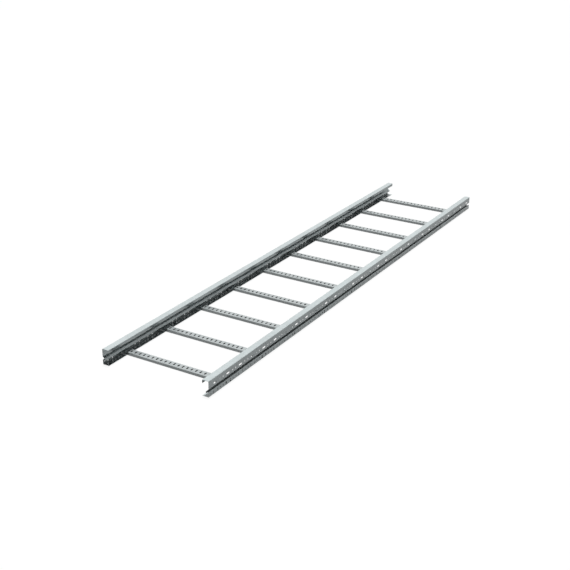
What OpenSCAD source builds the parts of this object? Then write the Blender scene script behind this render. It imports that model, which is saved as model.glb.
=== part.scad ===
// Cable ladder section: two folded side rails joined by ten punched channel rungs.
// Origin: middle of the underside. X runs along the ladder, Y across it, Z up.

/* [Ladder] */
// Length of the section along the rails
ladder_length = 3000; // [1200:300:3000]
// Overall width over the outer faces of the side rails
ladder_width = 600; // [300:50:600]
// Spacing of the rungs, centre to centre
rung_pitch = 300; // [300:50:400]
// Distance from the rail end to the centre of the first rung
end_distance = 150; // [120:5:160]

/* [Side rail] */
// Height of the side rail
rail_height = 80; // [78:1:90]
// Width of the top and bottom flanges
rail_depth = 35; // [33:1:40]
// Thickness of the folded rail sheet
rail_sheet = 1.5; // [1:0.25:1.75]
// Inside radius of the rail folds
rail_fold = 1.5; // [1:0.25:1.75]
// Height of the lip that hangs from the inner edge of the top flange
top_lip = 17; // [12:1:18]

/* [Groove] */
// Height above the ground at which the upper wall turns into the groove
groove_top = 41; // [39:1:43]
// Height above the ground at which the groove comes back to the lower wall
groove_bottom = 27; // [26:1:29]
// Depth of the groove, from the outer face to the ridge that it makes inside
groove_depth = 17; // [14:1:18]
// Height above the ground of the upper edge of the ridge
ridge_top = 25; // [25:0.5:27]
// Height above the ground of the lower edge of the ridge
ridge_bottom = 19; // [18.5:0.5:19.5]

/* [Upper wall holes] */
// Spacing of the bolt slots and of the hole pairs between them
slot_pitch = 100; // [100:10:120]
// Overall length of a bolt slot
slot_length = 25; // [20:1:30]
// Width of a bolt slot
slot_width = 8; // [6:0.5:9]
// Height of the slots and round holes above the ground
slot_height = 54; // [52:1:58]
// Diameter of the small round holes in the upper wall
wall_hole = 7; // [5:0.5:8]
// Spacing of the two round holes of a pair, in the upper and the lower wall
pair_spacing = 25; // [20:1:28]

/* [Lower wall holes] */
// Diameter of the round holes in the lower wall
foot_hole = 8; // [6:0.5:9]
// Height of the lower round holes above the ground
foot_hole_height = 14; // [12:0.5:16]
// Spacing of the two upright slots on either side of a lower hole pair
foot_slot_spacing = 67; // [60:1:72]
// Overall length of an upright slot
foot_slot_length = 15; // [12:1:16]
// Width of an upright slot
foot_slot_width = 7; // [5:0.5:8]
// Height of the middle of the upright slots above the ground
foot_slot_height = 13; // [12:0.5:14]

/* [Rung] */
// Width of a rung
rung_width = 40; // [34:1:44]
// Height of a rung
rung_height = 16; // [13:1:18]
// Thickness of the rung sheet
rung_sheet = 1.5; // [1:0.25:2]
// Inside radius of the rung folds
rung_fold = 1.5; // [1:0.25:2]
// Width of the returns along the underside of a rung
rung_return = 7; // [5:1:9]
// Spacing of the punched slots along a rung
punch_pitch = 25; // [20:1:30]
// Length of a punched slot, measured across the rung
punch_length = 20; // [14:1:24]
// Width of a punched slot
punch_width = 8; // [6:0.5:10]

/* [Hidden] */
round_off = 0.001;
rung_count = floor((ladder_length - 2 * end_distance) / rung_pitch + round_off) + 1;
function rung_name(n) = str("rung_", n < 10 ? "0" : "", n);
$fn = 32;
// Largest turn of one facet of a fold, in degrees
fold_facet = 18;

rail_end = ladder_length / 2;
half_width = ladder_width / 2;
cut_through = 4 * rail_sheet;
// How far a cutter runs past the faces it cuts
cut_past = 1;

// Section of the rail, as the centre line of the sheet: y is measured outward from the inner flange edge
half_sheet = rail_sheet / 2;
outer_line = rail_depth - half_sheet;
ridge_line = rail_depth - groove_depth + half_sheet;
rail_path = [[half_sheet, rail_height - top_lip],
             [half_sheet, rail_height - half_sheet],
             [outer_line, rail_height - half_sheet],
             [outer_line, groove_top],
             [ridge_line, ridge_top],
             [ridge_line, ridge_bottom],
             [outer_line, groove_bottom],
             [outer_line, half_sheet],
             [0, half_sheet]];

// Rung section, across the rung: y is the height
rung_half = (rung_width - rung_sheet) / 2;
rung_path = [[-rung_half + rung_return, rung_sheet / 2],
             [-rung_half, rung_sheet / 2],
             [-rung_half, rung_height - rung_sheet / 2],
             [rung_half, rung_height - rung_sheet / 2],
             [rung_half, rung_sheet / 2],
             [rung_half - rung_return, rung_sheet / 2]];

// Faces of the left rail
inner_edge = half_width - rail_depth;
seat_face = half_width - rail_sheet;

function unit(v) = v / norm(v);
function left_of(v) = [-v[1], v[0]];
function cross_z(a, b) = a[0] * b[1] - a[1] * b[0];

// Points of one side of a folded sheet round corner i, at signed offset d to the left of the path
function fold_points(path, i, d, bend) =
    let (a = unit(path[i] - path[i - 1]),
         b = unit(path[i + 1] - path[i]),
         turn = atan2(cross_z(a, b), a * b),
         side = sign(turn),
         reach = bend * tan(abs(turn) / 2),
         centre = path[i] - a * reach + left_of(a) * side * bend,
         radius = bend - side * d,
         start = left_of(a) * -side,
         steps = ceil(abs(turn) / fold_facet))
    [for (k = [0 : steps])
        let (angle = turn * k / steps)
        centre + radius * [start[0] * cos(angle) - start[1] * sin(angle),
                           start[0] * sin(angle) + start[1] * cos(angle)]];

function side_points(path, d, bend) =
    let (last = len(path) - 1,
         first_dir = left_of(unit(path[1] - path[0])),
         last_dir = left_of(unit(path[last] - path[last - 1])))
    concat([path[0] + first_dir * d],
           [for (i = [1 : last - 1]) each fold_points(path, i, d, bend)],
           [path[last] + last_dir * d]);

function reversed(list) = [for (i = [len(list) - 1 : -1 : 0]) list[i]];

// A sheet of the given thickness folded along a path, with the given inside radius
module folded_sheet(path, sheet, inside) {
    bend = inside + sheet / 2;
    polygon(concat(side_points(path, sheet / 2, bend), reversed(side_points(path, -sheet / 2, bend))));
}

// A round-ended cutter along X, through a wall that faces Y
module slot_cutter(length, width, depth) {
    straight = length - width;
    rotate([90, 0, 0]) {
        for (x = [-straight / 2, straight / 2])
            translate([x, 0, -depth / 2]) cylinder(d = width, h = depth);
        translate([-straight / 2, -width / 2, -depth / 2]) cube([straight, width, depth]);
    }
}

module hole_cutter(diameter, depth) {
    rotate([90, 0, 0]) translate([0, 0, -depth / 2]) cylinder(d = diameter, h = depth);
}

// Places along the rail, measured from its end
rung_places = [for (n = [0 : rung_count - 1]) end_distance + n * rung_pitch];
slot_places = [for (s = [slot_pitch / 2 : slot_pitch : ladder_length - slot_length]) s];
pair_places = [for (s = [slot_pitch : slot_pitch : ladder_length - slot_pitch / 2]) s];
foot_places = [for (s = [0 : slot_pitch : ladder_length]) s];
function inside_rail(s, reach) = s > reach && s < ladder_length - reach;

module upper_wall_holes() {
    for (s = slot_places)
        translate([s, half_width, slot_height]) slot_cutter(slot_length, slot_width, cut_through);
    for (s = pair_places, side = [-1, 1])
        translate([s + side * pair_spacing / 2, half_width, slot_height])
            hole_cutter(wall_hole, cut_through);
}

// Round holes and upright slots, left out where they would run off the end of the rail
module lower_wall_holes() {
    for (place = foot_places, side = [-1, 1]) {
        hole_place = place + side * pair_spacing / 2;
        if (inside_rail(hole_place, foot_hole))
            translate([hole_place, half_width, foot_hole_height]) hole_cutter(foot_hole, cut_through);
        slot_place = place + side * foot_slot_spacing / 2;
        if (inside_rail(slot_place, foot_slot_width))
            translate([slot_place, half_width, foot_slot_height])
                rotate([0, 90, 0]) slot_cutter(foot_slot_length, foot_slot_width, cut_through);
    }
}

// One rail on the +Y side
module side_rail() {
    color([0.74, 0.77, 0.78])
        translate([-rail_end, 0, 0])
            difference() {
                translate([0, inner_edge, 0])
                    rotate([90, 0, 90])
                        linear_extrude(ladder_length) folded_sheet(rail_path, rail_sheet, rail_fold);
                upper_wall_holes();
                lower_wall_holes();
            }
}

module punched_slots() {
    span = 2 * inner_edge - 2 * punch_width;
    steps = floor(span / 2 / punch_pitch);
    straight = punch_length - punch_width;
    for (k = [-steps : steps])
        translate([0, k * punch_pitch, rung_height - rung_sheet - cut_past]) {
            for (x = [-straight / 2, straight / 2])
                translate([x, 0, 0]) cylinder(d = punch_width, h = rung_sheet + 2 * cut_past);
            translate([-straight / 2, -punch_width / 2, 0])
                cube([straight, punch_width, rung_sheet + 2 * cut_past]);
        }
}

// Room for the bottom flange of both rails, cut out of the side walls of a rung
module flange_cuts() {
    cut_width = rung_width + 2 * cut_past;
    cut_depth = seat_face - inner_edge + cut_past;
    for (place = [inner_edge, -inner_edge - cut_depth])
        translate([-cut_width / 2, place, -cut_past])
            cube([cut_width, cut_depth, rail_sheet + cut_past]);
}

// A rung is an open channel that butts against both lower walls and straddles their bottom flanges
module rung(n) {
    translate([end_distance + (n - 1) * rung_pitch - rail_end, 0, 0])
        color([0.82, 0.84, 0.85])
            difference() {
                rotate([90, 0, 0]) linear_extrude(2 * seat_face, center = true)
                    folded_sheet(rung_path, rung_sheet, rung_fold);
                punched_slots();
                flange_cuts();
            }
}

module side_rail_left() { side_rail(); }
module side_rail_right() { rotate([0, 0, 180]) side_rail(); }

side_rail_left();
side_rail_right();
for (n = [1 : rung_count])
    rung(n);
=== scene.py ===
import math

import bmesh
import bpy
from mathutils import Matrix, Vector


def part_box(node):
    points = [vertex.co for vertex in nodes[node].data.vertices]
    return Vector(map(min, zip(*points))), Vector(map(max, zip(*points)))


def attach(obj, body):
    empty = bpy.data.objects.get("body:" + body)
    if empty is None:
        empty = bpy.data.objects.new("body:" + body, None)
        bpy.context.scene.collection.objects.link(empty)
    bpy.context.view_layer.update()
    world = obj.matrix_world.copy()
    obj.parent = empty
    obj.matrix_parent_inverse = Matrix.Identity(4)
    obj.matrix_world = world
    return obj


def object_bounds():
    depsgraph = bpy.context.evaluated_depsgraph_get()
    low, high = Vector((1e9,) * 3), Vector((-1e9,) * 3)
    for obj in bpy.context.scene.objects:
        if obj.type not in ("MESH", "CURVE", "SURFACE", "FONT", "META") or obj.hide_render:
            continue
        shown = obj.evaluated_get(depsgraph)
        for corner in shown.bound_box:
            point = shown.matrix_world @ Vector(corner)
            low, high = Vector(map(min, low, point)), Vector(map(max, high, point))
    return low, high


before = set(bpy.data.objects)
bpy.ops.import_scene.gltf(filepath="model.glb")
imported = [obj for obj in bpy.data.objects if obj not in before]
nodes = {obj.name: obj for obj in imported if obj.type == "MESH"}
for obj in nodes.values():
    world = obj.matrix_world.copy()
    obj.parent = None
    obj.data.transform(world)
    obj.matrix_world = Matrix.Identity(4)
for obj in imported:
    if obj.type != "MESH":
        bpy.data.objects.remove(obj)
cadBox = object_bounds()
frameEdge = cadBox[1][1]  # outer face of the left rail
rungNames = sorted(name for name in nodes if name.startswith("rung_"))
railNames = ["side_rail_left", "side_rail_right"]
print("ladder loaded:", len(rungNames), "rungs")


# ---- small helpers for node trees
def addNode(tree, kind, x=0, y=0, values=None, **settings):
    node = tree.nodes.new(kind)
    node.location = (x, y)
    for name, value in settings.items():
        setattr(node, name, value)
    for name, value in (values or {}).items():
        node.inputs[name].default_value = value
    return node


def wire(tree, source, target):
    tree.links.new(source, target)


def maths(tree, operation, first, second=None, x=0, y=0, clamp=False):
    node = addNode(tree, "ShaderNodeMath", x, y, operation=operation, use_clamp=clamp)
    for socket, value in zip(node.inputs, (first, second)):
        if isinstance(value, bpy.types.NodeSocket):
            wire(tree, value, socket)
        elif value is not None:
            socket.default_value = value
    return node.outputs[0]


def mapRange(tree, value, fromLow, fromHigh, toLow, toHigh, x=0, y=0):
    node = addNode(tree, "ShaderNodeMapRange", x, y)
    limits = {"From Min": fromLow, "From Max": fromHigh, "To Min": toLow, "To Max": toHigh}
    for name, limit in limits.items():
        if isinstance(limit, bpy.types.NodeSocket):
            wire(tree, limit, node.inputs[name])
        else:
            node.inputs[name].default_value = limit
    wire(tree, value, node.inputs["Value"])
    return node.outputs["Result"]


def newGroup(name, inputs, outputs):
    group = bpy.data.node_groups.new(name, "ShaderNodeTree")
    for socketName, kind, value in inputs:
        socket = group.interface.new_socket(socketName, in_out="INPUT", socket_type=kind)
        if value is not None:
            socket.default_value = value
    for socketName, kind in outputs:
        group.interface.new_socket(socketName, in_out="OUTPUT", socket_type=kind)
    return group, addNode(group, "NodeGroupInput", -900), addNode(group, "NodeGroupOutput", 900)


# ---- shared finishes of hot-dip zinc
crystalLook = {"warpScale": 60.0, "warpReach": 0.006, "glossSwing": 0.06, "seamWidth": 0.08, "tilt": 0.5}


def makeSpangle():
    # flat crystals of frozen zinc, each a little lighter or duller than the next
    group, given, result = newGroup(
        "zincSpangle",
        [("Vector", "NodeSocketVector", None), ("Crystals per metre", "NodeSocketFloat", 110.0),
         ("Contrast", "NodeSocketFloat", 0.08)],
        [("Tone", "NodeSocketFloat"), ("Gloss", "NodeSocketFloat"), ("Height", "NodeSocketFloat")])
    warpLook = {"Scale": crystalLook["warpScale"], "Detail": 3.0}
    warp = addNode(group, "ShaderNodeTexNoise", -700, -200, warpLook)
    wire(group, given.outputs["Vector"], warp.inputs["Vector"])
    shift = addNode(group, "ShaderNodeVectorMath", -500, -200, operation="MULTIPLY_ADD")
    shift.inputs[1].default_value = [crystalLook["warpReach"]] * 3
    wire(group, warp.outputs["Color"], shift.inputs[0])
    wire(group, given.outputs["Vector"], shift.inputs[2])
    crystals = addNode(group, "ShaderNodeTexVoronoi", -300, 100, {"Randomness": 1.0})
    edges = addNode(group, "ShaderNodeTexVoronoi", -300, -300, {"Randomness": 1.0},
                    feature="DISTANCE_TO_EDGE")
    for cells in (crystals, edges):
        wire(group, shift.outputs["Vector"], cells.inputs["Vector"])
        wire(group, given.outputs["Crystals per metre"], cells.inputs["Scale"])
    parts = addNode(group, "ShaderNodeSeparateColor", -100, 100)
    wire(group, crystals.outputs["Color"], parts.inputs["Color"])
    low = maths(group, "SUBTRACT", 1.0, given.outputs["Contrast"], 100, 200)
    high = maths(group, "ADD", 1.0, given.outputs["Contrast"], 100, 50)
    tone = mapRange(group, parts.outputs["Red"], 0.0, 1.0, low, high, 300, 200)
    wire(group, tone, result.inputs["Tone"])
    swing = crystalLook["glossSwing"]
    gloss = mapRange(group, parts.outputs["Green"], 0.0, 1.0, -swing, swing, 300, 0)
    wire(group, gloss, result.inputs["Gloss"])
    seam = mapRange(group, edges.outputs["Distance"], 0.0, crystalLook["seamWidth"], 0.0, 1.0, 100, -300)
    tilt = maths(group, "MULTIPLY", parts.outputs["Blue"], crystalLook["tilt"], 100, -500)
    wire(group, maths(group, "ADD", seam, tilt, 300, -400), result.inputs["Height"])
    return group


drainLook = {"stretch": (1.4, 22.0, 22.0), "cloudScale": 9.0, "faint": 0.12, "strong": 0.38,
             "glossSwing": 0.05}


def makeDrainMarks():
    # long soft bands that the zinc leaves as it runs off along the section
    group, given, result = newGroup(
        "drainMarks",
        [("Vector", "NodeSocketVector", None), ("Amount", "NodeSocketFloat", 0.06)],
        [("Tone", "NodeSocketFloat"), ("Gloss", "NodeSocketFloat"), ("Height", "NodeSocketFloat")])
    stretch = addNode(group, "ShaderNodeMapping", -700, 0, {"Scale": drainLook["stretch"]})
    wire(group, given.outputs["Vector"], stretch.inputs["Vector"])
    bandLook = {"Scale": 1.0, "Detail": 5.0, "Roughness": 0.6}
    bands = addNode(group, "ShaderNodeTexNoise", -500, 0, bandLook)
    wire(group, stretch.outputs["Vector"], bands.inputs["Vector"])
    cloudLook = {"Scale": drainLook["cloudScale"], "Detail": 4.0}
    clouds = addNode(group, "ShaderNodeTexNoise", -500, -300, cloudLook)
    wire(group, given.outputs["Vector"], clouds.inputs["Vector"])
    both = maths(group, "MULTIPLY", bands.outputs["Fac"], clouds.outputs["Fac"], -300, -100)
    low = maths(group, "SUBTRACT", 1.0, given.outputs["Amount"], -100, 200)
    high = maths(group, "ADD", 1.0, given.outputs["Amount"], -100, 50)
    faint = drainLook["faint"]
    strong = drainLook["strong"]
    swing = drainLook["glossSwing"]
    wire(group, mapRange(group, both, faint, strong, low, high, 100, 100), result.inputs["Tone"])
    wire(group, mapRange(group, both, faint, strong, swing, -swing, 100, -100), result.inputs["Gloss"])
    height = mapRange(group, clouds.outputs["Fac"], 0.3, 0.7, 0.0, 1.0, 100, -300)
    wire(group, height, result.inputs["Height"])
    return group


# flat and sharp are cosines of the turn at an edge
edgeWearSheenLook = {"flat": 0.995, "sharp": 0.82, "patchScale": 45.0, "leastWear": 0.25}


def makeEdgeWearAndSheen():
    # cut edges and folds are lightened in patches along a thin line: partly rubbed wear, partly a painted
    # highlight on the edges
    group, given, result = newGroup(
        "edgeWearAndSheen",
        [("Width", "NodeSocketFloat", 0.0012), ("Vector", "NodeSocketVector", None)],
        [("Mask", "NodeSocketFloat")])
    rounded = addNode(group, "ShaderNodeBevel", -600, 0, samples=4)
    wire(group, given.outputs["Width"], rounded.inputs["Radius"])
    shape = addNode(group, "ShaderNodeNewGeometry", -600, -200)
    match = addNode(group, "ShaderNodeVectorMath", -400, 0, operation="DOT_PRODUCT")
    wire(group, rounded.outputs["Normal"], match.inputs[0])
    wire(group, shape.outputs["Normal"], match.inputs[1])
    bare = mapRange(group, match.outputs["Value"], edgeWearSheenLook["flat"], edgeWearSheenLook["sharp"], 0.0, 1.0, -200, 0)
    patchLook = {"Scale": edgeWearSheenLook["patchScale"], "Detail": 3.0}
    patches = addNode(group, "ShaderNodeTexNoise", -400, -300, patchLook)
    wire(group, given.outputs["Vector"], patches.inputs["Vector"])
    worn = mapRange(group, patches.outputs["Fac"], 0.35, 0.65, edgeWearSheenLook["leastWear"], 1.0, -200, -300)
    wire(group, maths(group, "MULTIPLY", bare, worn, 0, 0, clamp=True), result.inputs["Mask"])
    return group


# steep and level are the upward part of the normal
dustLook = {"steep": 0.55, "level": 0.95, "patchScale": 16.0, "leastCover": 0.15}


def makeSettledDust():
    # a dull layer of dust on what faces up, in uneven patches
    group, given, result = newGroup(
        "settledDust",
        [("Vector", "NodeSocketVector", None), ("Amount", "NodeSocketFloat", 0.1)],
        [("Mask", "NodeSocketFloat")])
    shape = addNode(group, "ShaderNodeNewGeometry", -700, 200)
    parts = addNode(group, "ShaderNodeSeparateXYZ", -500, 200)
    wire(group, shape.outputs["Normal"], parts.inputs["Vector"])
    upward = mapRange(group, parts.outputs["Z"], dustLook["steep"], dustLook["level"], 0.0, 1.0, -300, 200)
    patchLook = {"Scale": dustLook["patchScale"], "Detail": 6.0, "Roughness": 0.65}
    patches = addNode(group, "ShaderNodeTexNoise", -500, -100, patchLook)
    wire(group, given.outputs["Vector"], patches.inputs["Vector"])
    cover = mapRange(group, patches.outputs["Fac"], 0.4, 0.7, dustLook["leastCover"], 1.0, -300, -100)
    mask = maths(group, "MULTIPLY", upward, cover, -100, 100)
    wire(group, maths(group, "MULTIPLY", mask, given.outputs["Amount"], 100, 100, clamp=True),
         result.inputs["Mask"])
    return group


# reach and strength of the painted shade in folds and hollows
paintedFoldShadeLook = {"reach": 0.03, "enclosed": 0.25, "open": 0.85}


def makePaintedFoldShade():
    # painted shade: the base colour is darkened deep in the folds and inside the rungs, where ambient
    # occlusion finds them enclosed
    group, given, result = newGroup(
        "paintedFoldShade",
        [("Reach", "NodeSocketFloat", paintedFoldShadeLook["reach"]), ("Amount", "NodeSocketFloat", 0.5)],
        [("Tone", "NodeSocketFloat")])
    openness = addNode(group, "ShaderNodeAmbientOcclusion", -500, 0, samples=8, only_local=True)
    wire(group, given.outputs["Reach"], openness.inputs["Distance"])
    low = maths(group, "SUBTRACT", 1.0, given.outputs["Amount"], -300, -200)
    enclosed = paintedFoldShadeLook["enclosed"]
    tone = mapRange(group, openness.outputs["AO"], enclosed, paintedFoldShadeLook["open"], low, 1.0, -100, 0)
    wire(group, tone, result.inputs["Tone"])
    return group


spangle = makeSpangle()
drainMarks = makeDrainMarks()
edgeWearAndSheen = makeEdgeWearAndSheen()
settledDust = makeSettledDust()
paintedFoldShade = makePaintedFoldShade()

# each finish also sets how strongly painted shade darkens its colour in folds and hollows
railFinish = {"colour": (0.61, 0.675, 0.683), "metallic": 0.28, "roughness": 0.18, "paintedShade": 0.60,
              "crystals": 120.0, "contrast": 0.05, "drain": 0.05, "dust": 0.06,
              "edge": 0.0012, "relief": 0.00006}
rungFinish = {"colour": (0.50, 0.54, 0.545), "metallic": 0.28, "roughness": 0.20, "paintedShade": 1.0,
              "crystals": 120.0, "contrast": 0.05, "drain": 0.04, "dust": 0.06,
              "edge": 0.0012, "relief": 0.00006}
weldFinish = {"colour": (0.56, 0.58, 0.58), "metallic": 0.8, "roughness": 0.45, "paintedShade": 0.3,
              "crystals": 420.0, "contrast": 0.12, "drain": 0.05, "dust": 0.16,
              "edge": 0.0004, "relief": 0.0001}
zincShade = {"specular": 0.35, "grazing": (0.6, 0.6, 0.6), "dustDulls": 0.35, "edgeShines": -0.12,
             "reliefStrength": 0.35}
# lighter zinc for the edges: partly rubbed wear, partly a painted highlight
edgeWearSheenColour = (0.80, 0.82, 0.82)
dustColour = (0.62, 0.60, 0.57)


def makeZinc(name, finish):
    material = bpy.data.materials.new(name)
    material.use_nodes = True
    tree = material.node_tree
    tree.nodes.clear()
    output = addNode(tree, "ShaderNodeOutputMaterial", 900)
    surface = addNode(tree, "ShaderNodeBsdfPrincipled", 600)
    surface.inputs["Metallic"].default_value = finish["metallic"]
    surface.inputs["Specular IOR Level"].default_value = zincShade["specular"]
    surface.inputs["Specular Tint"].default_value = (*zincShade["grazing"], 1.0)
    wire(tree, surface.outputs["BSDF"], output.inputs["Surface"])
    place = addNode(tree, "ShaderNodeTexCoord", -1100)

    def useGroup(group, x, y, **values):
        node = addNode(tree, "ShaderNodeGroup", x, y, node_tree=group)
        wire(tree, place.outputs["Object"], node.inputs["Vector"])
        for socketName, value in values.items():
            node.inputs[socketName].default_value = value
        return node

    crystals = useGroup(spangle, -800, 300, Contrast=finish["contrast"])
    crystals.inputs["Crystals per metre"].default_value = finish["crystals"]
    marks = useGroup(drainMarks, -800, 0, Amount=finish["drain"])
    edge = useGroup(edgeWearAndSheen, -800, -300, Width=finish["edge"])
    dust = useGroup(settledDust, -800, -500, Amount=finish["dust"])

    # painted shade: the colour is darkened where ambient occlusion finds folds and hollows
    paintedShade = addNode(tree, "ShaderNodeGroup", -800, 600, {"Amount": finish["paintedShade"]}, node_tree=paintedFoldShade)
    uneven = maths(tree, "MULTIPLY", crystals.outputs["Tone"], marks.outputs["Tone"], -550, 200)
    tone = maths(tree, "MULTIPLY", uneven, paintedShade.outputs["Tone"], -450, 400)
    zinc = addNode(tree, "ShaderNodeVectorMath", -350, 300, operation="SCALE")
    zinc.inputs[0].default_value = finish["colour"]
    wire(tree, tone, zinc.inputs["Scale"])
    colour = zinc.outputs["Vector"]
    # edges get the lighter edge colour (wear and painted highlight), upward faces the dust colour
    for mask, over, x in ((edge, edgeWearSheenColour, -150), (dust, dustColour, 50)):
        mix = addNode(tree, "ShaderNodeMix", x, 300, data_type="RGBA")
        wire(tree, mask.outputs["Mask"], mix.inputs["Factor"])
        wire(tree, colour, mix.inputs["A"])
        mix.inputs["B"].default_value = (*over, 1.0)
        colour = mix.outputs["Result"]
    wire(tree, colour, surface.inputs["Base Color"])

    gloss = maths(tree, "ADD", crystals.outputs["Gloss"], marks.outputs["Gloss"], -550, -50)
    duller = maths(tree, "MULTIPLY", dust.outputs["Mask"], zincShade["dustDulls"], -350, -150)
    shine = maths(tree, "MULTIPLY", edge.outputs["Mask"], zincShade["edgeShines"], -350, -300)
    change = maths(tree, "ADD", maths(tree, "ADD", gloss, duller, -150, -100), shine, 0, -100)
    roughness = maths(tree, "ADD", change, finish["roughness"], 150, -100, clamp=True)
    wire(tree, roughness, surface.inputs["Roughness"])

    reliefLook = {"Strength": zincShade["reliefStrength"], "Distance": finish["relief"]}
    relief = addNode(tree, "ShaderNodeBump", 350, -400, reliefLook)
    height = maths(tree, "ADD", crystals.outputs["Height"], marks.outputs["Height"], 0, -400)
    wire(tree, height, relief.inputs["Height"])
    wire(tree, relief.outputs["Normal"], surface.inputs["Normal"])
    return material


railZinc = makeZinc("railZinc", railFinish)
rungZinc = makeZinc("rungZinc", rungFinish)
weldZinc = makeZinc("weldZinc", weldFinish)


def dress(node, material):
    for place in range(max(1, len(node.material_slots))):
        if place >= len(node.data.materials):
            node.data.materials.append(material)
        node.data.materials[place] = material


for name in railNames:
    dress(nodes[name], railZinc)
for name in rungNames:
    dress(nodes[name], rungZinc)
print("zinc finishes on", len(railNames) + len(rungNames), "pieces")

# ---- weld beads where each rung stands on the bottom flanges of the rails
weldBead = {"rippleSpacing": 0.0013, "throat": 0.0017, "rippleLength": 0.0011, "flangeTop": 0.0015,
            "flangeWidth": 0.035, "clear": 0.003, "inset": 0.0006, "uneven": 0.22, "seed": 7}


def makeBeadTree():
    tree = bpy.data.node_groups.new("weldBeads", "GeometryNodeTree")
    tree.interface.new_socket("Paths", in_out="INPUT", socket_type="NodeSocketGeometry")
    for socketName in ("Ripple Spacing", "Throat", "Ripple Length", "Unevenness"):
        tree.interface.new_socket(socketName, in_out="INPUT", socket_type="NodeSocketFloat")
    tree.interface.new_socket("Seed", in_out="INPUT", socket_type="NodeSocketInt")
    tree.interface.new_socket("Finish", in_out="INPUT", socket_type="NodeSocketMaterial")
    tree.interface.new_socket("Beads", in_out="OUTPUT", socket_type="NodeSocketGeometry")
    given = addNode(tree, "NodeGroupInput", -900)
    result = addNode(tree, "NodeGroupOutput", 1100)
    toCurve = addNode(tree, "GeometryNodeMeshToCurve", -700, 100)
    wire(tree, given.outputs["Paths"], toCurve.inputs["Mesh"])
    toPoints = addNode(tree, "GeometryNodeCurveToPoints", -500, 100, mode="LENGTH")
    wire(tree, toCurve.outputs["Curve"], toPoints.inputs["Curve"])
    wire(tree, given.outputs["Ripple Spacing"], toPoints.inputs["Length"])
    roundBall = {"Segments": 8, "Rings": 5, "Radius": 1.0}
    ripple = addNode(tree, "GeometryNodeMeshUVSphere", -500, -200, roundBall)
    size = addNode(tree, "ShaderNodeCombineXYZ", -500, -450)
    wire(tree, given.outputs["Throat"], size.inputs["X"])
    wire(tree, given.outputs["Throat"], size.inputs["Y"])
    wire(tree, given.outputs["Ripple Length"], size.inputs["Z"])
    vary = addNode(tree, "FunctionNodeRandomValue", -500, -650, data_type="FLOAT")
    least = maths(tree, "SUBTRACT", 1.0, given.outputs["Unevenness"], -700, -650)
    most = maths(tree, "ADD", 1.0, given.outputs["Unevenness"], -700, -800)
    floats = [s for s in vary.inputs if s.type == "VALUE" and s.enabled]
    wire(tree, least, floats[0])
    wire(tree, most, floats[1])
    wire(tree, given.outputs["Seed"], vary.inputs["Seed"])
    scaled = addNode(tree, "ShaderNodeVectorMath", -250, -450, operation="SCALE")
    wire(tree, size.outputs["Vector"], scaled.inputs[0])
    wire(tree, [s for s in vary.outputs if s.type == "VALUE" and s.enabled][0], scaled.inputs["Scale"])
    place = addNode(tree, "GeometryNodeInstanceOnPoints", 0, 100)
    wire(tree, toPoints.outputs["Points"], place.inputs["Points"])
    wire(tree, ripple.outputs["Mesh"], place.inputs["Instance"])
    wire(tree, toPoints.outputs["Rotation"], place.inputs["Rotation"])
    wire(tree, scaled.outputs["Vector"], place.inputs["Scale"])
    realize = addNode(tree, "GeometryNodeRealizeInstances", 300, 100)
    wire(tree, place.outputs["Instances"], realize.inputs["Geometry"])
    smooth = addNode(tree, "GeometryNodeSetShadeSmooth", 500, 100)
    wire(tree, realize.outputs["Geometry"], smooth.inputs["Geometry"])
    finish = addNode(tree, "GeometryNodeSetMaterial", 700, 100)
    wire(tree, smooth.outputs["Geometry"], finish.inputs["Geometry"])
    wire(tree, given.outputs["Finish"], finish.inputs["Material"])
    wire(tree, finish.outputs["Geometry"], result.inputs["Beads"])
    return tree


def beadPaths():
    # along the foot of both side walls of a rung, and up their ends against the lower wall of the rail
    shape = bmesh.new()
    bottom = weldBead["flangeTop"] + weldBead["inset"]
    for name in rungNames:
        low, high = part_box(name)
        top = high.z - weldBead["clear"]
        for side in (-1, 1):
            wall = side * (high.y - weldBead["inset"])
            edge = side * (frameEdge - weldBead["flangeWidth"] + weldBead["clear"])
            for x in (low.x - weldBead["inset"], high.x + weldBead["inset"]):
                corner = (x, wall, bottom)
                for start, end in (((x, edge, bottom), corner), (corner, (x, wall, top))):
                    shape.edges.new((shape.verts.new(start), shape.verts.new(end)))
    mesh = bpy.data.meshes.new("weldPaths")
    shape.to_mesh(mesh)
    shape.free()
    return mesh


def makeWeldBeads():
    paths = bpy.data.objects.new("weldPaths", beadPaths())
    bpy.context.scene.collection.objects.link(paths)
    tree = makeBeadTree()
    maker = paths.modifiers.new("beads", "NODES")
    maker.node_group = tree
    sockets = {}
    for item in tree.interface.items_tree:
        if item.in_out == "INPUT":
            sockets[item.name] = item.identifier
    maker[sockets["Ripple Spacing"]] = weldBead["rippleSpacing"]
    maker[sockets["Throat"]] = weldBead["throat"]
    maker[sockets["Ripple Length"]] = weldBead["rippleLength"]
    maker[sockets["Unevenness"]] = weldBead["uneven"]
    maker[sockets["Seed"]] = weldBead["seed"]
    maker[sockets["Finish"]] = weldZinc
    paths.update_tag()
    graph = bpy.context.evaluated_depsgraph_get()
    mesh = bpy.data.meshes.new_from_object(paths.evaluated_get(graph), depsgraph=graph)
    bpy.data.objects.remove(paths)
    mesh.name = "weld_beads"
    beads = bpy.data.objects.new("weld_beads", mesh)
    bpy.context.scene.collection.objects.link(beads)
    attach(beads, "root")
    print("weld beads:", len(mesh.polygons), "faces")


makeWeldBeads()

# ---- floor and surroundings
floorLook = {"size": 60.0, "glow": 0.93, "shadowShare": 0.08, "bounce": 0.02,
             "skyWhite": 1.0, "skyLight": 0.03}


def seenRays(tree, x, y):
    # one for rays that see the backdrop itself, straight or in a reflection
    rays = addNode(tree, "ShaderNodeLightPath", x, y)
    straight = rays.outputs["Is Camera Ray"]
    either = maths(tree, "MAXIMUM", straight, rays.outputs["Is Glossy Ray"], x + 200, y)
    return maths(tree, "MAXIMUM", either, rays.outputs["Is Transmission Ray"], x + 400, y)


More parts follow.
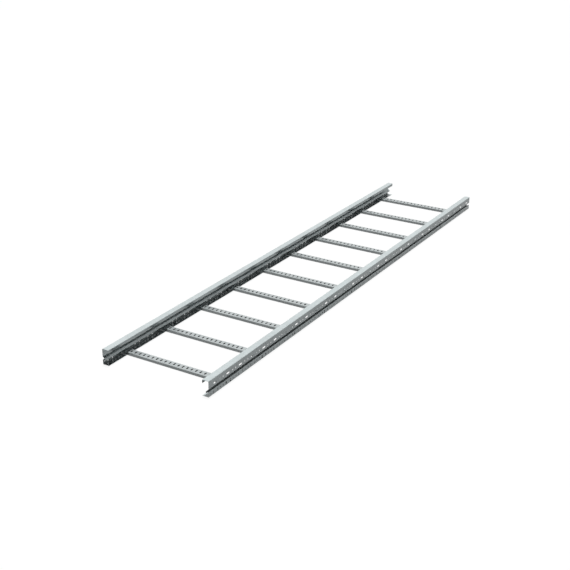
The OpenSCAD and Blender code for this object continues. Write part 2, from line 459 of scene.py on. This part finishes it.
def makeFloor():
    half = floorLook["size"] / 2
    mesh = bpy.data.meshes.new("studioFloor")
    corners = [(-half, -half, 0), (half, -half, 0), (half, half, 0), (-half, half, 0)]
    mesh.from_pydata(corners, [], [(0, 1, 2, 3)])
    floor = bpy.data.objects.new("studioFloor", mesh)
    bpy.context.scene.collection.objects.link(floor)
    material = bpy.data.materials.new("paleFloor")
    material.use_nodes = True
    tree = material.node_tree
    tree.nodes.clear()
    output = addNode(tree, "ShaderNodeOutputMaterial", 900)
    seen = seenRays(tree, -700, 300)
    glow = addNode(tree, "ShaderNodeEmission", 0, 200, {"Color": (1, 1, 1, 1), "Strength": floorLook["glow"]})
    share = floorLook["shadowShare"]  # this part of the white is real, so that the shadow shows in it
    catch = addNode(tree, "ShaderNodeBsdfDiffuse", 0, 0, {"Color": (share, share, share, 1)})
    pale = addNode(tree, "ShaderNodeAddShader", 250, 150)
    wire(tree, glow.outputs[0], pale.inputs[0])
    wire(tree, catch.outputs[0], pale.inputs[1])
    level = floorLook["bounce"]
    bounce = addNode(tree, "ShaderNodeBsdfDiffuse", 250, -150, {"Color": (level, level, level, 1)})
    pick = addNode(tree, "ShaderNodeMixShader", 600, 0)
    wire(tree, seen, pick.inputs[0])
    wire(tree, bounce.outputs[0], pick.inputs[1])
    wire(tree, pale.outputs[0], pick.inputs[2])
    wire(tree, pick.outputs[0], output.inputs["Surface"])
    mesh.materials.append(material)


def makeSky():
    world = bpy.data.worlds.new("paleSky")
    bpy.context.scene.world = world
    world.use_nodes = True
    tree = world.node_tree
    tree.nodes.clear()
    output = addNode(tree, "ShaderNodeOutputWorld", 600)
    sky = addNode(tree, "ShaderNodeBackground", 300, 0, {"Color": (1, 1, 1, 1)})
    seen = seenRays(tree, -700, 0)
    wire(tree, mapRange(tree, seen, 0.0, 1.0, floorLook["skyLight"], floorLook["skyWhite"], 0, 0),
         sky.inputs["Strength"])
    wire(tree, sky.outputs[0], output.inputs["Surface"])


makeFloor()
makeSky()

# ---- lamp: where it stands, as a direction from the ladder
keyLamp = {"towards": (0.22, 0.11, 0.97), "strength": 3.2, "spread": 8.0}


def makeLamp():
    light = bpy.data.lights.new("keyLamp", "SUN")
    light.energy = keyLamp["strength"]
    light.angle = math.radians(keyLamp["spread"])
    holder = bpy.data.objects.new("keyLamp", light)
    holder.rotation_euler = Vector(keyLamp["towards"]).to_track_quat("Z", "Y").to_euler()
    bpy.context.scene.collection.objects.link(holder)


makeLamp()

# ---- camera
view = {"place": (-4.7132, -2.6247, 2.2272), "turn": (66.853, -0.278, -58.763), "lens": 65.139,
        "sensor": 36.0, "farthest": 200.0}


def makeCamera():
    lens = bpy.data.cameras.new("shopCamera")
    lens.lens = view["lens"]
    lens.sensor_width = view["sensor"]
    lens.clip_end = view["farthest"]
    camera = bpy.data.objects.new("shopCamera", lens)
    camera.location = view["place"]
    camera.rotation_euler = [math.radians(angle) for angle in view["turn"]]
    bpy.context.scene.collection.objects.link(camera)
    bpy.context.scene.camera = camera


makeCamera()
bpy.context.scene.view_settings.view_transform = "Standard"
print("floor, sky, lamp and camera placed")
